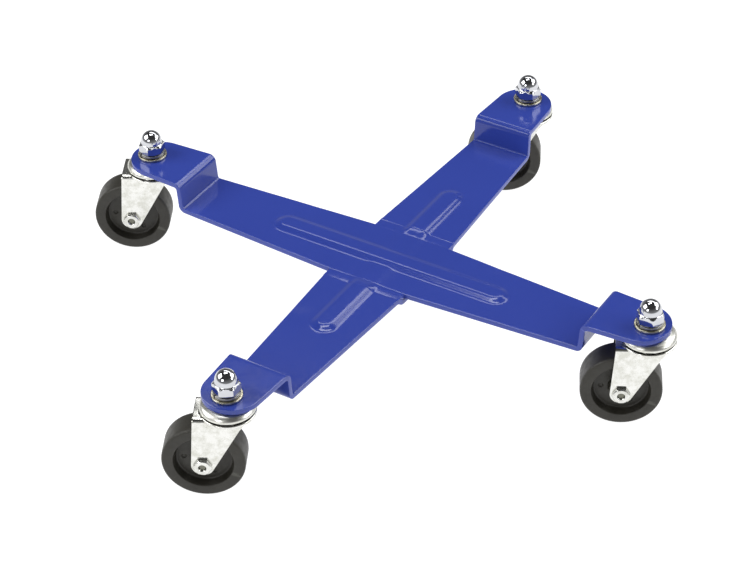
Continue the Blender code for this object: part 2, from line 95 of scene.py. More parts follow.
# A mesh turned about +Z lies down along the axle, with its top towards the front of the dolly.
LYING = TRAILING @ Matrix.Rotation(math.pi, 4, "Z") @ Matrix.Rotation(math.pi / 2, 4, "X")
PLATE_TOP = MOUNTS["front_left_arm_top"]["pos_m"][2]
PAD_TOP = top("upper_bar")
CROWN_TOP = SWIVELS["front_left"].z
AXLE_HEIGHT = AXLES["front_left"].z
WHEEL_RADIUS = (top("front_left_wheel") - bottom("front_left_wheel")) / 2
CUP_RADIUS = outer_radius("front_left_top_cup")
WASHER_RADIUS = outer_radius("front_left_washer")
SPRING_RADIUS = outer_radius("front_left_spring_washer")
LOWER_CUP_RADIUS = outer_radius("front_left_lower_cup")

# The bars, as in the part: half widths, bends, beads, the dip of the lower one and the seams that fill it
PLATE = 4.0 * MM
GAP = 0.3 * MM
CROSS_HALF_WIDTH = 34.7 * MM
NOSE_CENTRE = 222.4 * MM
NOSE_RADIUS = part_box("upper_bar")[1].x - NOSE_CENTRE * math.cos(math.pi / 4)
WALL_FOOT = 182.5 * MM
WALL_HEAD = 184.5 * MM
TIGHT_BEND = 2.0 * MM
WIDE_BEND = TIGHT_BEND + PLATE
BEAD_HEIGHT = 2.5 * MM
BEAD_CREST = 5.0 * MM
BEAD_FOOT = 12.5 * MM
BEAD_END = 109.0 * MM
SADDLE_HEIGHT = 0.8 * MM
SADDLE_FOOT = 17.0 * MM
DIP = PLATE + GAP
DIP_START = CROSS_HALF_WIDTH + 0.7 * MM
DIP_END = DIP_START + 8.0 * MM
SEAM_END = 34.4 * MM
SEAM_LAP = 1.2 * MM                # the mound's overlap on each bar
SEAM_RISE = 0.3 * MM
SEAM_SINK = 0.1 * MM               # holds the mound's rim just inside the bars

# The casters
KINGPIN_RADIUS = 6.0 * MM
PIN_HOLE = 6.5 * MM
CUP_SHEET = 1.8 * MM
FORK_HALF_WIDTH = 14.7 * MM
FORK_PLATE = 2.4 * MM
FORK_BEND = 3.2 * MM
LEG_END_RADIUS = 8.7 * MM
LEG_TOP_REACH = 25.2 * MM
FORK_FRONT = -15.0 * MM
SLANT_TOP = (-9.5 * MM, CROWN_TOP - 9.1 * MM)
CROWN_DOME = 2.4 * MM
DOME_TOP = 10.4 * MM
DOME_FOOT = 12.9 * MM
CROWN_BORE = 6.8 * MM
CROWN_OPENING = 13.4 * MM          # cut out of the legs' sheet and filled by the crown
WHEEL_HALF_WIDTH = 11.1 * MM
WEB_INNER, WEB_OUTER = 10.6 * MM, 20.2 * MM
WEB_DEPTH = 6.8 * MM               # from the wheel's face down to its web
DIMPLE_RING = 15.4 * MM
DIMPLE_RADIUS = 2.1 * MM
DIMPLE_DEPTH = 1.1 * MM
AXLE_RADIUS = 3.95 * MM
RECESS_RADIUS = 3.2 * MM           # in the bolt's head
RECESS_DEPTH = 1.7 * MM
NUT_COLLAR = 5.4 * MM              # the axle nut's locking collar
SLEEVE_RADIUS = 6.35 * MM
AXLE_FLATS = 12.7 * MM
NUT_FLATS = 19.0 * MM
NUT_DOME = 8.6 * MM
NUT_SHOULDER = PAD_TOP + 13.0 * MM
PIN_HEAD_RADIUS = 8.6 * MM
NUT_TURNS = {"front_left": -13.5, "front_right": 22.3, "rear_left": 2.4, "rear_right": -24.8}
SLOT_TURN = math.radians(200)
UPPER_RACE = 15.3 * MM
UPPER_BALL = 2.45 * MM
LOWER_RACE = 8.8 * MM
LOWER_BALL = 1.6 * MM


# ---------------------------------------------------------------- mesh tools

def ease(value):
    """0 below 0, 1 above 1, and a smooth step between, for numbers and arrays."""
    value = np.clip(value, 0, 1)
    return value * value * (3 - 2 * value)


def soft_min(a, b, blend):
    """The smaller of the two, rounded over where they meet."""
    overlap = np.maximum(blend - np.abs(a - b), 0) / blend
    return np.minimum(a, b) - overlap * overlap * blend / 4


def arc(centre, radius, start, end, steps):
    turns = np.radians(np.linspace(start, end, steps + 1))
    return [(centre[0] + radius * math.cos(t), centre[1] + radius * math.sin(t)) for t in turns]


def rounded(points, closed):
    """Rounds the corners of an outline: a point is (x, y) or (x, y, fillet radius)."""
    result = []
    count = len(points)
    for i, point in enumerate(points):
        here = Vector(point[:2])
        radius = point[2] if len(point) > 2 else 0
        if radius == 0 or (not closed and i in (0, count - 1)):
            result.append(tuple(here))
            continue
        back = Vector(points[i - 1][:2]) - here
        ahead = Vector(points[(i + 1) % count][:2]) - here
        half = back.angle(ahead) / 2
        reach = min(radius / math.tan(half), 0.48 * back.length, 0.48 * ahead.length)
        middle = here + (back.normalized() + ahead.normalized()).normalized() * (reach / math.cos(half))
        start = here + back.normalized() * reach - middle
        sweep = start.angle_signed(here + ahead.normalized() * reach - middle)
        steps = max(2, int(abs(math.degrees(sweep)) / 15))
        for k in range(steps + 1):
            turned = start.copy()
            turned.rotate(Matrix.Rotation(-sweep * k / steps, 2))
            result.append(tuple(middle + turned))
    return result


def mesh_from(name, verts, faces):
    mesh = bpy.data.meshes.new(name)
    mesh.from_pydata([tuple(vert) for vert in verts], [], faces)
    bm = bmesh.new()
    bm.from_mesh(mesh)
    bmesh.ops.recalc_face_normals(bm, faces=bm.faces)
    bm.to_mesh(mesh)
    bm.free()
    return mesh


def turned_mesh(name, profile, steps, flats=None, edge=0.35 * MM):
    """A (radius, height) profile turned about Z.

    Where the size across flats is given, it is trimmed to a hexagon with soft edges.
    """
    closed = profile[0][0] > 0
    profile = rounded(profile, closed)
    turns = np.linspace(0, math.tau, steps, endpoint=False)
    limit = None
    if flats:
        sixth = math.tau / 6
        limit = flats / 2 / np.cos(turns % sixth - sixth / 2)
    verts, rings = [], []
    for radius, height in profile:
        if radius < 1e-9:
            rings.append([len(verts)] * steps)
            verts.append((0, 0, height))
            continue
        reach = soft_min(radius, limit, edge) if flats else np.full(steps, radius)
        rings.append(list(range(len(verts), len(verts) + steps)))
        verts += list(zip(reach * np.cos(turns), reach * np.sin(turns), np.full(steps, height)))
    faces = []
    pairs = list(zip(rings, rings[1:])) + ([(rings[-1], rings[0])] if closed else [])
    for near, far in pairs:
        for i in range(steps):
            j = (i + 1) % steps
            corners = dict.fromkeys((near[i], near[j], far[j], far[i]))
            faces.append(tuple(corners))
    return mesh_from(name, verts, faces)


def rod_profile(radius, low, high):
    return [(0, high), (radius, high), (radius, low), (0, low)]


def tube_profile(inner, outer, low, high, edge):
    """A square ring's profile with its four edges rounded."""
    return [(inner, high, edge), (outer, high, edge), (outer, low, edge), (inner, low, edge)]


def helper(mesh, matrix=None):
    """A working object, removed by baked()."""
    obj = bpy.data.objects.new(mesh.name, mesh)
    bpy.context.scene.collection.objects.link(obj)
    if matrix:
        obj.matrix_world = matrix
    return obj


def baked(obj, *others):
    """The object's mesh with its modifiers applied. The object and its helpers are then removed."""
    graph = bpy.context.evaluated_depsgraph_get()
    mesh = bpy.data.meshes.new_from_object(obj.evaluated_get(graph))
    for used in (obj, *others):
        bpy.data.objects.remove(used)
    return mesh


def add_boolean(obj, operation, other):
    boolean = obj.modifiers.new(operation, "BOOLEAN")
    boolean.operation = operation
    boolean.object = other


def add_thickness(obj, thickness):
    solidify = obj.modifiers.new("thickness", "SOLIDIFY")
    solidify.thickness = thickness
    solidify.offset = -1
    solidify.use_even_offset = True


def add_soft_edges(obj, width, segments=3, angle=50):
    bevel = obj.modifiers.new("edges", "BEVEL")
    bevel.width = width
    bevel.segments = segments
    bevel.limit_method = "ANGLE"
    bevel.angle_limit = math.radians(angle)
    bevel.use_clamp_overlap = True


def turned_to(mesh, matrix):
    mesh.transform(matrix)
    return mesh


def piece(name, mesh, place, body, node, material):
    """A finished piece that stands for a CAD node and rides on its body."""
    obj = bpy.data.objects.new(name, mesh)
    bpy.context.scene.collection.objects.link(obj)
    obj.location = place
    if not mesh.materials:
        mesh.materials.append(material)
        mesh.shade_smooth()
        mesh.set_sharp_from_angle(angle=math.radians(38))
    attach(obj, body)
    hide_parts(node)
    return obj


# ---------------------------------------------------------------- materials

class Shader:
    """A Principled material with a few shorthands for its nodes."""

    def __init__(self, name):
        self.material = bpy.data.materials.new(name)
        self.material.use_nodes = True
        self.nodes = self.material.node_tree.nodes
        self.links = self.material.node_tree.links
        self.principled = self.nodes["Principled BSDF"]
        # Each object reads the textures at its own offset, so that no two look alike.
        self.local = self.nodes.new("ShaderNodeTexCoord").outputs["Object"]
        shift = self.nodes.new("ShaderNodeVectorMath")
        self.links.new(self.local, shift.inputs[0])
        self.links.new(self.nodes.new("ShaderNodeObjectInfo").outputs["Random"], shift.inputs[1])
        self.place = shift.outputs[0]

    def set(self, **values):
        for key, value in values.items():
            self.principled.inputs[key.replace("_", " ")].default_value = value

    def link(self, output, name):
        self.links.new(output, self.principled.inputs[name])

    def noise(self, scale, detail=3.0, roughness=0.5):
        node = self.nodes.new("ShaderNodeTexNoise")
        node.inputs["Scale"].default_value = scale
        node.inputs["Detail"].default_value = detail
        node.inputs["Roughness"].default_value = roughness
        self.links.new(self.place, node.inputs["Vector"])
        return node.outputs["Fac"]

    def ramp(self, factor, *stops):
        """Stops are (position, colour), and a colour may be one grey value."""
        node = self.nodes.new("ShaderNodeValToRGB")
        ramp = node.color_ramp
        while len(ramp.elements) < len(stops):
            ramp.elements.new(0.5)
        for element, (position, colour) in zip(ramp.elements, stops):
            element.position = position
            grey = isinstance(colour, (int, float))
            element.color = (colour, colour, colour, 1) if grey else (*colour, 1)
        self.links.new(factor, node.inputs["Fac"])
        return node.outputs["Color"]

    def mix(self, factor, first, second):
        node = self.nodes.new("ShaderNodeMix")
        node.data_type = "RGBA"
        self.links.new(factor, node.inputs["Factor"])
        for value, socket in ((first, node.inputs[6]), (second, node.inputs[7])):
            if isinstance(value, tuple):
                socket.default_value = (*value, 1)
            else:
                self.links.new(value, socket)
        return node.outputs[2]

    def edges(self, low, high):
        """1 on outward edges and 0 elsewhere, from the surface's pointiness."""
        geometry = self.nodes.new("ShaderNodeNewGeometry")
        return self.ramp(geometry.outputs["Pointiness"], (low, 0.0), (high, 1.0))

    def within(self, direction, radius):
        """1 near the line through the object's origin, fading to 0 at the radius."""
        aside = self.nodes.new("ShaderNodeVectorMath")
        aside.operation = "CROSS_PRODUCT"
        self.links.new(self.local, aside.inputs[0])
        aside.inputs[1].default_value = direction
        distance = self.nodes.new("ShaderNodeVectorMath")
        distance.operation = "LENGTH"
        self.links.new(aside.outputs[0], distance.inputs[0])
        fade = self.nodes.new("ShaderNodeMapRange")
        fade.inputs["From Min"].default_value = radius
        fade.inputs["From Max"].default_value = 0.8 * radius
        self.links.new(distance.outputs["Value"], fade.inputs["Value"])
        return fade.outputs["Result"]

    def bump(self, *layers):
        """Each layer is (height output, strength, distance)."""
        normal = None
        for height, strength, distance in layers:
            node = self.nodes.new("ShaderNodeBump")
            node.inputs["Strength"].default_value = strength
            node.inputs["Distance"].default_value = distance
            self.links.new(height, node.inputs["Height"])
            if normal:
                self.links.new(normal, node.inputs["Normal"])
            normal = node.outputs["Normal"]
        self.link(normal, "Normal")


def blue_enamel():
    """Smooth gloss enamel with faint orange peel, and a painted highlight: a paler blue on outward edges."""
    s = Shader("blue_enamel")
    colour = s.ramp(s.noise(14, 2), (0.3, (0.0300, 0.0555, 0.332)), (0.7, (0.0320, 0.0585, 0.346)))
    # Painted highlight: outward edges are mixed towards a paler blue.
    colour = s.mix(s.edges(0.56, 0.66), colour, (0.10, 0.13, 0.50))
    s.link(colour, "Base Color")
    s.link(s.ramp(s.noise(300, 3), (0.3, 0.11), (0.7, 0.16)), "Roughness")
    s.bump((s.noise(380, 2), 0.12, 0.04 * MM))
    s.set(IOR=1.5, Specular_IOR_Level=0.5)
    return s.material


def chrome():
    s = Shader("mirror_chrome")
    s.link(s.ramp(s.noise(90, 2), (0.3, (0.54, 0.55, 0.58)), (0.7, (0.61, 0.62, 0.65))), "Base Color")
    s.link(s.ramp(s.noise(300, 4), (0.35, 0.03), (0.75, 0.08)), "Roughness")
    s.bump((s.noise(160, 2), 0.08, 0.05 * MM))
    s.set(Metallic=1.0)
    return s.material


def zinc(name, dark, light, rough, uneven, stained=0.75, painted_recess_shade=None):
    """Zinc plate: cloudy patches, small dark specks and an uneven surface.

    The last argument is the (direction, radius) of an axle line; within that radius of it the colour is
    darkened, a painted shade for the recess in the bolt's head.
    """
    s = Shader(name)
    cloud = s.ramp(s.noise(150, 4, 0.65), (0.36, dark), (0.60, light))
    speck = s.ramp(s.noise(420, 3, 0.7), (0.68, 0.0), (0.76, stained))
    colour = s.mix(speck, cloud, tuple(0.40 * channel for channel in dark))
    # Painted shade: darker near the axle line, inside the bolt head's recess.
    if painted_recess_shade:
        direction, radius = painted_recess_shade
        colour = s.mix(s.within(direction, radius), colour, (0.17, 0.17, 0.14))
    s.link(colour, "Base Color")
    s.link(s.ramp(s.noise(170, 4, 0.6), (0.3, rough), (0.75, rough + 0.12)), "Roughness")
    s.bump((s.noise(130, 3), uneven, 0.12 * MM), (s.noise(1400, 2), 0.4 * uneven, 0.03 * MM))
    s.set(Metallic=1.0)
    return s.material


def turned_steel(name, shade, rough):
    s = Shader(name)
    s.link(s.ramp(s.noise(300, 3), (0.3, shade * 0.85), (0.7, shade)), "Base Color")
    s.link(s.ramp(s.noise(500, 3), (0.3, rough), (0.7, rough + 0.1)), "Roughness")
    s.bump((s.noise(900, 2), 0.1, 0.02 * MM))
    s.set(Metallic=1.0)
    return s.material


def dark_moulding():
    """Moulded wheel material: near black with an olive cast, fine grain, greyer on outward edges."""
    s = Shader("dark_moulding")
    base = s.ramp(s.noise(80, 4), (0.3, (0.019, 0.017, 0.012)), (0.7, (0.028, 0.026, 0.019)))
    s.link(s.mix(s.edges(0.52, 0.60), base, (0.066, 0.065, 0.053)), "Base Color")
    s.link(s.ramp(s.noise(240, 4), (0.3, 0.40), (0.7, 0.55)), "Roughness")
    s.bump((s.noise(900, 3), 0.2, 0.06 * MM), (s.noise(90, 2), 0.2, 0.15 * MM))
    s.set(IOR=1.48)
    return s.material


# ---------------------------------------------------------------- bars

def bead_rise(x, y):
    """The pressed bead, with a round end in plan."""
    past_end = np.maximum(np.abs(x) - (BEAD_END - BEAD_FOOT), 0)
    return BEAD_HEIGHT * ease((BEAD_FOOT - np.hypot(past_end, y)) / (BEAD_FOOT - BEAD_CREST))


def upper_rise(x, y):
    """The upper bar humps a little over the lower one's bead."""
    saddle = SADDLE_HEIGHT * ease((SADDLE_FOOT - np.abs(x)) / (SADDLE_FOOT - BEAD_CREST))
    return -soft_min(-bead_rise(x, y), -saddle, 0.6 * MM)


def dip(x):
    return DIP * ease((DIP_END - np.abs(x)) / (DIP_END - DIP_START))


def lower_rise(x, y):
    squeeze = 1 - (1 - SADDLE_HEIGHT / BEAD_HEIGHT) * dip(x) / DIP
    return bead_rise(x, y) * squeeze - dip(x)


def half_width(x):
    taper = (np.abs(x) - CROSS_HALF_WIDTH) / (NOSE_CENTRE - CROSS_HALF_WIDTH)
    return CROSS_HALF_WIDTH + (NOSE_RADIUS - CROSS_HALF_WIDTH) * np.clip(taper, 0, 1)


def step_profile():
    """(distance along, height) up the step, with a tight bend at its foot and a wide one at its head."""
    lean = math.atan2(PAD_TOP - PLATE_TOP, WALL_HEAD - WALL_FOOT)
    setback = math.tan(lean / 2)
    lean = math.degrees(lean)
    foot = (WALL_FOOT - TIGHT_BEND * setback, PLATE_TOP + TIGHT_BEND)
    head = (WALL_HEAD + WIDE_BEND * setback, PAD_TOP - WIDE_BEND)
    low = arc(foot, TIGHT_BEND, -90, lean - 90, 8)
    high = arc(head, WIDE_BEND, lean + 90, 90, 14)
    wall = [tuple(Vector(low[-1]).lerp(Vector(high[0]), share)) for share in (0.25, 0.5, 0.75)]
    return low + wall + high


def bar_mesh(name, rise, dents):
    step = step_profile()
    flat = [(x, PLATE_TOP) for x in np.linspace(0, step[0][0], 114)[:-1]]
    pad = [(x, PAD_TOP) for x in np.linspace(step[-1][0], NOSE_CENTRE, 16)[1:]]
    half = flat + step + pad
    stations = [(-x, z) for x, z in reversed(half[1:])] + half
    nose_steps, columns = 14, 48
    nose = [share / nose_steps for share in range(nose_steps, 0, -1)]
    rows = [(*stations[0], share) for share in nose] + [(x, z, 0.0) for x, z in stations]
    rows += [(*stations[-1], share) for share in reversed(nose)]
    along, height, past = (np.array(rows)[:, i][:, None] for i in range(3))
    side = np.linspace(-1, 1, columns + 1)[None, :]

    # A square grid bent onto a half disc makes the round nose.
    x = along + np.sign(along) * NOSE_RADIUS * past * np.sqrt(1 - side * side / 2)
    y = side * half_width(x) * np.sqrt(1 - past * past / 2)
    z = height + rise(x, y)
    for dent_x, dent_y, reach, depth in dents:
        z -= depth * np.exp(-((x - dent_x) ** 2 + (y - dent_y) ** 2) / reach ** 2)
    verts = np.stack([x, y, z], axis=-1).reshape(-1, 3)
    width = columns + 1
    faces = []
    for row in range(len(rows) - 1):
        for i in range(columns):
            a = row * width + i
            faces.append((a, a + width, a + width + 1, a + 1))
    mesh = bpy.data.meshes.new(name)
    mesh.from_pydata(verts.tolist(), [], faces)
    sheet = helper(mesh)
    add_thickness(sheet, PLATE)
    add_soft_edges(sheet, 0.7 * MM)
    cutters = []
    for end in (-1, 1):
        reach = end * SWIVELS["front_right"].to_2d().length
        hole = turned_mesh("hole", rod_profile(PIN_HOLE, PAD_TOP - 2 * PLATE, PAD_TOP + PLATE), 48)
        cutters.append(helper(hole, Matrix.Translation((reach, 0, 0))))
        add_boolean(sheet, "DIFFERENCE", cutters[-1])
    return baked(sheet, *cutters)


def seam_mesh(name, end):
    """A weld seam that fills the dip beside the upper bar. Its low mound runs out over both bars."""
    start, stop = CROSS_HALF_WIDTH - SEAM_LAP, DIP_END + SEAM_LAP
    slope = np.linspace(DIP_START, DIP_END, 8)
    across = np.linspace(-SEAM_END, SEAM_END, 97)
    verts = []
    for y in across:
        at_edge, at_toe = float(upper_rise(y, start)), float(bead_rise(stop, y))
        fade = max(1 - abs(y / SEAM_END) ** 6, 0)
        wander = 1 + 0.25 * noise.noise(Vector((y / (5 * MM), end, 0)))
        # Down beside the upper bar's edge, along the dip's floor, and back over the mound
        section = [(start, at_edge - SEAM_LAP)]
        section += [(CROSS_HALF_WIDTH + GAP, float(lower_rise(DIP_START, y)) + 2 * GAP)]
        section += [(x, float(lower_rise(x, y)) + GAP) for x in slope[:-2]]
        section += [(stop, at_toe - 2 * GAP)]
        for share in np.linspace(1, 0, 12):
            mound = SEAM_RISE * fade * wander * math.sin(share * math.pi) - SEAM_SINK
            level = at_edge + (at_toe - at_edge) * float(ease(share))
            section.append((start + (stop - start) * share, level + mound))
        verts += [(end * x, y, PLATE_TOP + rise) for x, rise in section]
    count = len(section)
    faces = [tuple(range(count)), tuple(range(len(verts) - count, len(verts)))]
    for row in range(len(across) - 1):
        for i in range(count):
            j = (i + 1) % count
            near, far = row * count, (row + 1) * count
            faces.append((near + i, near + j, far + j, far + i))
    return mesh_from(name, verts, faces)


# Shallow dents in each bar's flat: (along, across, reach, depth)
UPPER_DENTS = (
    (-88 * MM, 22 * MM, 9 * MM, 0.35 * MM),
    (84 * MM, 22 * MM, 11 * MM, 0.35 * MM),
    (104 * MM, 6 * MM, 5 * MM, 0.20 * MM),
    (-101 * MM, 3 * MM, 4 * MM, 0.20 * MM),
)
LOWER_DENTS = (
    (-98 * MM, 22 * MM, 10 * MM, 0.35 * MM),
    (88 * MM, 21 * MM, 8 * MM, 0.20 * MM),
    (-104 * MM, -5 * MM, 4 * MM, 0.20 * MM),
)


def build_bars():
    paint = blue_enamel()
    along_upper, along_lower = math.radians(-45), math.radians(45)
    bars = (
        ("upper_bar", upper_rise, UPPER_DENTS, along_upper),
        ("lower_bar", lower_rise, LOWER_DENTS, along_lower),
    )
    for name, rise, dents, turn in bars:
        mesh = turned_to(bar_mesh(name + "_sheet", rise, dents), Matrix.Rotation(turn, 4, "Z"))
        piece(name + "_painted", mesh, (0, 0, 0), "frame", name, paint)
    for node, end in (("front_weld", -1), ("rear_weld", 1)):
        mesh = turned_to(seam_mesh(node + "_seam", end), Matrix.Rotation(along_lower, 4, "Z"))
        piece(node + "_rippled", mesh, (0, 0, 0), "frame", node, paint)


# ---------------------------------------------------------------- pieces about the kingpin

def cap_nut_mesh(turn):
    low, high = bottom("front_left_cap_nut"), top("front_left_cap_nut")
    shoulder = NUT_SHOULDER
    corner = NUT_FLATS / math.sqrt(3)
    bore = KINGPIN_RADIUS + GAP
    blind = top("front_left_stem") + GAP
    profile = [(0, high)] + arc((0, high - NUT_DOME), NUT_DOME, 90, 0, 14)[1:]
    profile += [(NUT_DOME, shoulder + 0.6 * MM, 0.5 * MM), (NUT_DOME + 0.5 * MM, shoulder, 0.3 * MM)]
    profile += [(NUT_FLATS / 2 - 0.2 * MM, shoulder, 0.4 * MM), (corner, shoulder - 1.3 * MM, 0.3 * MM)]
    levels = np.linspace(shoulder - 2 * MM, low + 1.2 * MM, 6)
    profile += [(corner + 0.1 * MM, level) for level in levels]
    profile += [(corner, low + 0.9 * MM, 0.2 * MM), (NUT_FLATS / 2, low, 0.3 * MM), (bore, low, 0.3 * MM)]
    profile += [(bore, blind), (0, blind)]
    return turned_to(turned_mesh("cap_nut", profile, 144, NUT_FLATS), Matrix.Rotation(turn, 4, "Z"))


def washer_mesh():
    low, high = bottom("front_left_washer"), top("front_left_washer")
    return turned_mesh("washer", tube_profile(PIN_HOLE, WASHER_RADIUS, low, high, 0.45 * MM), 96)


def spring_washer_mesh():
    """A split ring."""
    low, high = bottom("front_left_spring_washer"), top("front_left_spring_washer")
    profile = tube_profile(PIN_HOLE, SPRING_RADIUS, low, high, 0.5 * MM)
    ring = helper(turned_mesh("spring_washer", profile, 96))
    bpy.ops.mesh.primitive_cube_add(size=1)
    slot = bpy.context.object
    slot.scale = (2 * SPRING_RADIUS, 1.2 * MM, 4 * (high - low))
    slot.rotation_euler.z = SLOT_TURN
    place = Vector((SPRING_RADIUS, 0, (low + high) / 2))
    place.rotate(slot.rotation_euler)
    slot.location = place
    add_boolean(ring, "DIFFERENCE", slot)
    return baked(ring, slot)


def stem_mesh():
    low, high = bottom("front_left_stem"), top("front_left_stem")
    head = low + 1.0 * MM
    profile = [(0, high), (KINGPIN_RADIUS - 0.9 * MM, high), (KINGPIN_RADIUS, high - 1 * MM)]
    profile += [(KINGPIN_RADIUS, head, 0.4 * MM), (PIN_HEAD_RADIUS, head, 0.3 * MM)]
    profile += [(PIN_HEAD_RADIUS, low, 0.3 * MM), (0, low)]
    return turned_mesh("stem", profile, 64)


def top_cup_mesh():
    low, high = bottom("front_left_top_cup"), top("front_left_top_cup")
    bore = KINGPIN_RADIUS + GAP
    flat = CUP_RADIUS - 7 * MM
    inner = CUP_RADIUS - CUP_SHEET
    shoulder = high - 4 * MM
    profile = [(bore, high, 0.3 * MM), (flat, high, 5 * MM), (flat + 5 * MM, high - 1.6 * MM, 3 * MM)]
    profile += [(CUP_RADIUS, shoulder, 2.2 * MM), (CUP_RADIUS, low, 0.5 * MM)]
    profile += [(inner, low, 0.5 * MM), (inner, shoulder, 1 * MM)]
    profile += [(flat + 3.6 * MM, high - 1.5 * CUP_SHEET, 2 * MM)]
    profile += [(flat - 1 * MM, high - CUP_SHEET, 2 * MM), (bore, high - CUP_SHEET, 0.3 * MM)]
    return turned_mesh("top_cup", profile, 128)


def lower_cup_mesh():
    low, high = bottom("front_left_lower_cup"), top("front_left_lower_cup")
    bore = KINGPIN_RADIUS + GAP
    floor = low + 1.2 * MM
    inner = LOWER_CUP_RADIUS - 0.9 * MM
    edge = 0.4 * MM
    profile = [(bore, floor, 0.2 * MM), (10 * MM, floor, 0.6 * MM), (inner, high, edge)]
    profile += [(LOWER_CUP_RADIUS, high, edge), (inner, low, 0.8 * MM), (bore, low, 0.2 * MM)]
    return turned_mesh("lower_cup", profile, 72)


def ball_ring_mesh(name, race, ball, count):
    """Separate balls in a pressed ring cage."""
    bm = bmesh.new()
    for i in range(count):
        turn = math.tau * i / count
        place = Matrix.Translation((race * math.cos(turn), race * math.sin(turn), 0))
        bmesh.ops.create_uvsphere(bm, u_segments=20, v_segments=12, radius=ball, matrix=place)
    cage = 0.3 * ball
    bm.from_mesh(turned_mesh("cage", tube_profile(race - cage, race + cage, -cage, cage, 0.3 * cage), 96))
    mesh = bpy.data.meshes.new(name)
    bm.to_mesh(mesh)
    bm.free()
    return mesh


# ---------------------------------------------------------------- fork

def fork_section():
    """Half of the channel's outer section, (across, height), from the middle line down to the leg's end."""
    crown = CROWN_TOP - 0.1 * MM
    points = [(0, crown), (FORK_HALF_WIDTH, crown, FORK_BEND)]
    points += [(FORK_HALF_WIDTH, AXLE_HEIGHT - LEG_END_RADIUS - 1 * MM)]
    return np.array(rounded(points, False))


def fork_blank():
    """One half of the flat blank, cut into a fine grid and then bent onto the channel's section.

    In the blank, x is along the trail, and y is the distance from the middle line over the bend and down.
    """
    section = fork_section()
    unrolled = np.concatenate([[0], np.cumsum(np.hypot(*np.diff(section, axis=0).T))])
    leg_top, leg_end = section[-2], unrolled[-2]

    def down_leg(height):
        return leg_end + leg_top[1] - height

    axle = Vector((TRAIL.length, down_leg(AXLE_HEIGHT)))
    slant_top = Vector((SLANT_TOP[0], down_leg(SLANT_TOP[1])))
    to_top = slant_top - axle
    tangent = math.degrees(math.atan2(to_top.y, to_top.x) - math.acos(LEG_END_RADIUS / to_top.length))
    outline = [(LEG_TOP_REACH, 0), (LEG_TOP_REACH, leg_end)]
    outline += arc(axle, LEG_END_RADIUS, 0, tangent % 360, 18)
    outline += rounded([outline[-1], (*slant_top, 7 * MM), (FORK_FRONT, leg_end - 2 * MM)], False)[1:]
    outline += [(FORK_FRONT, 0)]

    bm = bmesh.new()
    bm.faces.new([bm.verts.new((x, y, 0)) for x, y in outline])
    cuts = [((x, 0, 0), (1, 0, 0)) for x in np.arange(FORK_FRONT + MM, axle.x + LEG_END_RADIUS, 2 * MM)]
    across_cuts = [*np.arange(2 * MM, unrolled[1], 2.2 * MM), *unrolled[1:-1]]
    across_cuts += [*np.arange(leg_end + 2 * MM, axle.y + LEG_END_RADIUS, 2 * MM)]
    cuts += [((0, y, 0), (0, 1, 0)) for y in across_cuts]
    for place, normal in cuts:
        geometry = bm.verts[:] + bm.edges[:] + bm.faces[:]
        bmesh.ops.bisect_plane(bm, geom=geometry, plane_co=place, plane_no=normal, dist=1e-6)
    for vert in bm.verts:
        x, across = vert.co.x, vert.co.y
        wave = 0.05 * MM * noise.noise(Vector((x, across, 0)) / (7 * MM)) if across > leg_end else 0
        side, height = (np.interp(across, unrolled, section[:, axis]) for axis in (0, 1))
        vert.co = (x, side + wave, height)
    mesh = bpy.data.meshes.new("fork_blank")
    bm.to_mesh(mesh)
    bm.free()
    return mesh


def crown_mesh():
    """The round crown with its raised middle and the race for the upper balls."""
    under = CROWN_TOP - FORK_PLATE
    bend = 1.2 * MM
    profile = [(CROWN_BORE, CROWN_TOP + CROWN_DOME, 0.3 * MM), (DOME_TOP, CROWN_TOP + CROWN_DOME, bend)]
    profile += [(DOME_FOOT, CROWN_TOP, bend), (CUP_RADIUS, CROWN_TOP, 0.7 * MM)]
    profile += [(CUP_RADIUS, under, 0.4 * MM), (DOME_FOOT, under, bend)]
    profile += [(DOME_TOP, under + CROWN_DOME, bend), (CROWN_BORE, under + CROWN_DOME, 0.3 * MM)]
    return turned_mesh("crown", profile, 128)


def fork_mesh():
    """Built to trail along +X from the kingpin on the Z axis, then turned to its rest direction."""
    legs = helper(fork_blank())
    mirror = legs.modifiers.new("other_leg", "MIRROR")
    mirror.use_axis = (False, True, False)
    mirror.merge_threshold = 0.00001
    add_thickness(legs, FORK_PLATE - 0.2 * MM)
    add_soft_edges(legs, 0.4 * MM)
    opening_profile = rod_profile(CROWN_OPENING, CROWN_TOP - 4 * MM, CROWN_TOP + 2 * MM)
    opening = helper(turned_mesh("opening", opening_profile, 96))
    add_boolean(legs, "DIFFERENCE", opening)
    crown = helper(crown_mesh())
    add_boolean(legs, "UNION", crown)
    reach = 2 * FORK_HALF_WIDTH
    hole = turned_mesh("axle_hole", rod_profile(AXLE_RADIUS + GAP, -reach, reach), 48)
    place = Matrix.Translation((TRAIL.length, 0, AXLE_HEIGHT)) @ Matrix.Rotation(math.pi / 2, 4, "X")
    axle_hole = helper(hole, place)
    add_boolean(legs, "DIFFERENCE", axle_hole)
    return turned_to(baked(legs, opening, crown, axle_hole), TRAILING)


# ---------------------------------------------------------------- pieces about the axle

def axle_bolt_mesh():
    """The head is towards +Z, with a round recess."""
    seat = FORK_HALF_WIDTH + GAP
    face = seat + 2.8 * MM
    end = -FORK_HALF_WIDTH - 7.6 * MM
    corner = AXLE_FLATS / math.sqrt(3)
    floor = face - RECESS_DEPTH
    profile = [(0, floor), (RECESS_RADIUS - 0.9 * MM, floor, 0.2 * MM), (RECESS_RADIUS, face, 0.4 * MM)]
    profile += [(AXLE_FLATS / 2 - 0.5 * MM, face, 0.4 * MM), (corner, face - 0.9 * MM, 0.2 * MM)]
    profile += [(corner, face - 1.8 * MM), (corner, seat, 0.2 * MM), (AXLE_RADIUS, seat)]
    profile += [(AXLE_RADIUS, end + 0.8 * MM), (AXLE_RADIUS - 0.8 * MM, end), (0, end)]
    return turned_mesh("axle_bolt", profile, 96, AXLE_FLATS)


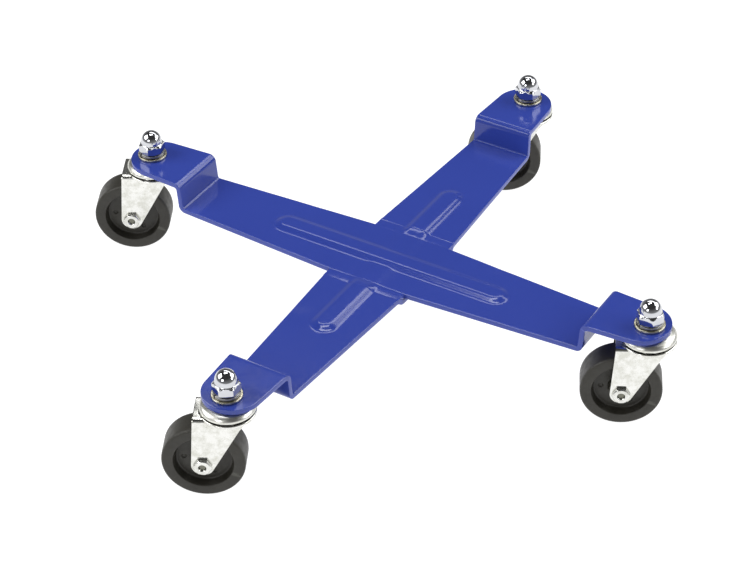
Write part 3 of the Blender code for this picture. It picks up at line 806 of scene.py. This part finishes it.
def axle_nut_mesh():
    """A locking nut with a round collar, towards -Z."""
    seat = -FORK_HALF_WIDTH - GAP
    bore = AXLE_RADIUS + GAP
    end = seat - 6.4 * MM
    corner = AXLE_FLATS / math.sqrt(3)
    profile = [(bore, seat), (AXLE_FLATS / 2, seat, 0.3 * MM), (corner, seat - 0.8 * MM, 0.2 * MM)]
    profile += [(corner, seat - 2 * MM), (corner, seat - 3.4 * MM, 0.2 * MM)]
    profile += [(AXLE_FLATS / 2, seat - 4.2 * MM, 0.4 * MM), (NUT_COLLAR, seat - 4.8 * MM, 0.5 * MM)]
    profile += [(NUT_COLLAR, end, 0.5 * MM), (bore, end, 0.3 * MM)]
    return turned_mesh("axle_nut", profile, 96, AXLE_FLATS)


def axle_sleeve_mesh():
    end = FORK_HALF_WIDTH - FORK_PLATE - GAP
    profile = tube_profile(AXLE_RADIUS + GAP, SLEEVE_RADIUS, -end, end, 0.3 * MM)
    return turned_mesh("axle_sleeve", profile, 64)


def wheel_mesh():
    """Flat tread with eased edges, deep dished webs with three moulded dimples on each side, and a hub."""
    half = WHEEL_HALF_WIDTH
    hub = half + GAP
    bore = SLEEVE_RADIUS + GAP
    web = half - WEB_DEPTH
    side = [(bore, hub, 0.4 * MM), (9.6 * MM, hub, 0.6 * MM), (10.3 * MM, web, 1.2 * MM)]
    side += [(radius, web) for radius in np.linspace(WEB_INNER + 0.9 * MM, WEB_OUTER - 1.4 * MM, 14)]
    side += [(21.2 * MM, web - 0.2 * MM, 1.6 * MM), (22.9 * MM, half, 0.8 * MM)]
    side += [(WHEEL_RADIUS - 0.05 * MM, half, 2.0 * MM), (WHEEL_RADIUS, half - 4 * MM)]
    profile = side + [(point[0], -point[1], *point[2:]) for point in reversed(side)]
    mesh = turned_mesh("wheel", profile, 144)
    for vert in mesh.vertices:
        radius = math.hypot(vert.co.x, vert.co.y)
        if not WEB_INNER < radius < WEB_OUTER or abs(vert.co.z) > web + 1.3 * MM:
            continue
        turn = math.atan2(vert.co.y, vert.co.x) % (math.tau / 3) - math.tau / 6
        distance = math.hypot(radius - DIMPLE_RING, turn * DIMPLE_RING)
        depth = DIMPLE_DEPTH * float(ease((DIMPLE_RADIUS - distance) / (0.7 * MM)))
        vert.co.z -= math.copysign(depth, vert.co.z)
    return mesh


# ---------------------------------------------------------------- casters

def build_casters():
    bright = zinc("bright_zinc", (0.62, 0.62, 0.57), (0.79, 0.79, 0.76), 0.09, 0.08)
    cup_zinc = zinc("cup_zinc", (0.66, 0.66, 0.60), (0.76, 0.76, 0.72), 0.28, 0.02, 0.15)
    axle_line = (LYING @ Vector((0, 0, 1))).normalized()
    # The bolt's zinc is darkened inside its head's recess, as painted shade.
    bolt_zinc = zinc("bolt_zinc", (0.60, 0.60, 0.56), (0.78, 0.78, 0.75), 0.20, 0.04, 0.30,
                     (axle_line, RECESS_RADIUS - 0.1 * MM))
    yellowed = zinc("yellowed_zinc", (0.46, 0.43, 0.31), (0.66, 0.63, 0.50), 0.24, 0.10)
    plain = turned_steel("plain_steel", 0.62, 0.28)
    sprung = turned_steel("dark_steel", 0.32, 0.30)
    ball = turned_steel("ball_steel", 0.72, 0.10)
    mirror = chrome()
    moulding = dark_moulding()

    # piece: (mesh, CAD node, body, slot, material), with the corner's name put before the names
    about_kingpin = {
        "spring_washer_plated": (spring_washer_mesh(), "spring_washer", "frame", "steel", sprung),
        "washer_plated": (washer_mesh(), "washer", "frame", "zinc", yellowed),
        "stem_turned": (stem_mesh(), "stem", "frame", "steel", plain),
        "top_cup_plated": (top_cup_mesh(), "top_cup", "frame", "zinc", cup_zinc),
        "lower_cup_plated": (lower_cup_mesh(), "lower_cup", "frame", "zinc", cup_zinc),
    }
    rings = {
        "upper_balls_caged": (ball_ring_mesh("upper_balls", UPPER_RACE, UPPER_BALL, 12), "upper_balls"),
        "lower_balls_caged": (ball_ring_mesh("lower_balls", LOWER_RACE, LOWER_BALL, 12), "lower_balls"),
    }
    about_axle = {
        "axle_bolt_plated": (axle_bolt_mesh(), "axle_bolt", "caster", "zinc", bolt_zinc),
        "axle_nut_plated": (axle_nut_mesh(), "axle_nut", "caster", "zinc", bright),
        "axle_sleeve_turned": (axle_sleeve_mesh(), "axle_sleeve", "caster", "steel", plain),
        "wheel_moulded": (wheel_mesh(), "wheel", "wheel", "wheel_moulding", moulding),
    }
    for mesh, *_ in about_axle.values():
        mesh.transform(LYING)
    pressed_fork = fork_mesh()
    for corner in CORNERS:
        swivel, axle = SWIVELS[corner], AXLES[corner]
        prefix = corner + "_"
        foot = Vector((swivel.x, swivel.y, 0))
        nut = cap_nut_mesh(math.radians(NUT_TURNS[corner]))
        piece(prefix + "cap_nut_chromed", nut, foot, "frame", prefix + "cap_nut", mirror)
        for name, (mesh, node, body, slot, material) in about_kingpin.items():
            piece(prefix + name, mesh, foot, body, prefix + node, material)
        for name, (mesh, node) in rings.items():
            place = foot + Vector((0, 0, (top(prefix + node) + bottom(prefix + node)) / 2))
            piece(prefix + name, mesh, place, prefix + "balls", prefix + node, ball)
        caster = prefix + "caster"
        piece(prefix + "fork_pressed", pressed_fork, foot, caster, prefix + "fork", bright)
        for name, (mesh, node, body, slot, material) in about_axle.items():
            piece(prefix + name, mesh, axle, prefix + body, prefix + node, material)


# ---------------------------------------------------------------- floor, light and camera

# The camera looks down at the dolly from the front, a little from the left.
CAMERA_TURN = math.radians(-12.94)
CAMERA_RISE = math.radians(36.90)
CAMERA_ROLL = math.radians(1.216)
CAMERA_DISTANCE = 1.9472
CAMERA_TARGET = Vector((-0.0258, -0.0590, 0.0907))    # from the floor under the crossing
LENS_SHARE = 3.3611                                    # focal length over sensor width


def build_floor():
    """A white table that glows a little round the dolly, so that it stays pale under it."""
    bpy.ops.mesh.primitive_plane_add(size=12, location=(0, 0, FLOOR))
    floor = bpy.context.object
    floor.name = "floor"
    s = Shader("pale_floor")
    away = s.nodes.new("ShaderNodeVectorMath")
    away.operation = "LENGTH"
    s.links.new(s.local, away.inputs[0])
    glow = s.nodes.new("ShaderNodeMapRange")
    glow.inputs["From Min"].default_value = 0.85
    glow.inputs["From Max"].default_value = 1.5
    glow.inputs["To Min"].default_value = 0.94
    glow.inputs["To Max"].default_value = 0.30
    s.links.new(away.outputs["Value"], glow.inputs["Value"])
    s.link(glow.outputs["Result"], "Emission Strength")
    s.link(s.ramp(s.noise(3, 2), (0.3, 0.27), (0.7, 0.29)), "Base Color")
    s.set(Roughness=0.8, Specular_IOR_Level=0.0, Emission_Color=(1, 1, 1, 1))
    floor.data.materials.append(s.material)


def softbox(name, turn, rise, distance, size, power):
    """A rectangular light aimed at the dolly. Its turn is from the back, clockwise from above."""
    turn, rise = math.radians(turn), math.radians(rise)
    way = Vector((math.sin(turn) * math.cos(rise), math.cos(turn) * math.cos(rise), math.sin(rise)))
    light = bpy.data.lights.new(name, "AREA")
    light.shape = "RECTANGLE"
    light.size, light.size_y = size
    light.energy = power
    obj = bpy.data.objects.new(name, light)
    obj.location = way * distance
    obj.rotation_euler = way.to_track_quat("Z", "Y").to_euler()
    bpy.context.scene.collection.objects.link(obj)


def build_light():
    """A dim room, darker overhead, with soft boxes at the back and the sides."""
    world = bpy.data.worlds.new("studio")
    world.use_nodes = True
    nodes, links = world.node_tree.nodes, world.node_tree.links
    rise = nodes.new("ShaderNodeSeparateXYZ")
    links.new(nodes.new("ShaderNodeTexCoord").outputs["Generated"], rise.inputs[0])
    fade = nodes.new("ShaderNodeMapRange")
    fade.inputs["From Max"].default_value = 0.7
    fade.inputs["To Min"].default_value = 0.30
    fade.inputs["To Max"].default_value = 0.05
    links.new(rise.outputs["Z"], fade.inputs["Value"])
    links.new(fade.outputs["Result"], nodes["Background"].inputs["Strength"])
    nodes["Background"].inputs["Color"].default_value = (1, 1, 1, 1)
    bpy.context.scene.world = world
    bpy.context.scene.view_settings.view_transform = "Standard"
    softbox("back_softbox", 24, 50, 2.6, (2.2, 0.40), 12)
    softbox("left_softbox", -78, 36, 2.2, (1.5, 1.3), 26)
    softbox("right_softbox", 88, 36, 2.2, (1.5, 1.3), 22)
    softbox("overhead", 0, 78, 2.4, (1.2, 0.5), 14)
    softbox("front_left_fill", -132, 24, 2.4, (0.7, 0.7), 9)
    softbox("front_right_fill", 122, 24, 2.4, (0.7, 0.7), 9)


def build_camera():
    turn, rise = CAMERA_TURN, CAMERA_RISE
    back = Vector((math.sin(turn) * math.cos(rise), -math.cos(turn) * math.cos(rise), math.sin(rise)))
    right = back.cross(Vector((0, 0, 1))).normalized() * -1
    up = back.cross(right)
    axes = Matrix((right, up, back)).transposed().to_4x4()
    camera = bpy.data.cameras.new("camera")
    camera.sensor_width = 36
    camera.lens = LENS_SHARE * camera.sensor_width
    obj = bpy.data.objects.new("camera", camera)
    target = CAMERA_TARGET + Vector((0, 0, FLOOR))
    obj.matrix_world = (Matrix.Translation(target + back * CAMERA_DISTANCE) @ axes
                        @ Matrix.Rotation(-CAMERA_ROLL, 4, "Z"))
    bpy.context.scene.collection.objects.link(obj)
    bpy.context.scene.camera = obj


build_bars()
build_casters()
build_floor()
build_light()
build_camera()
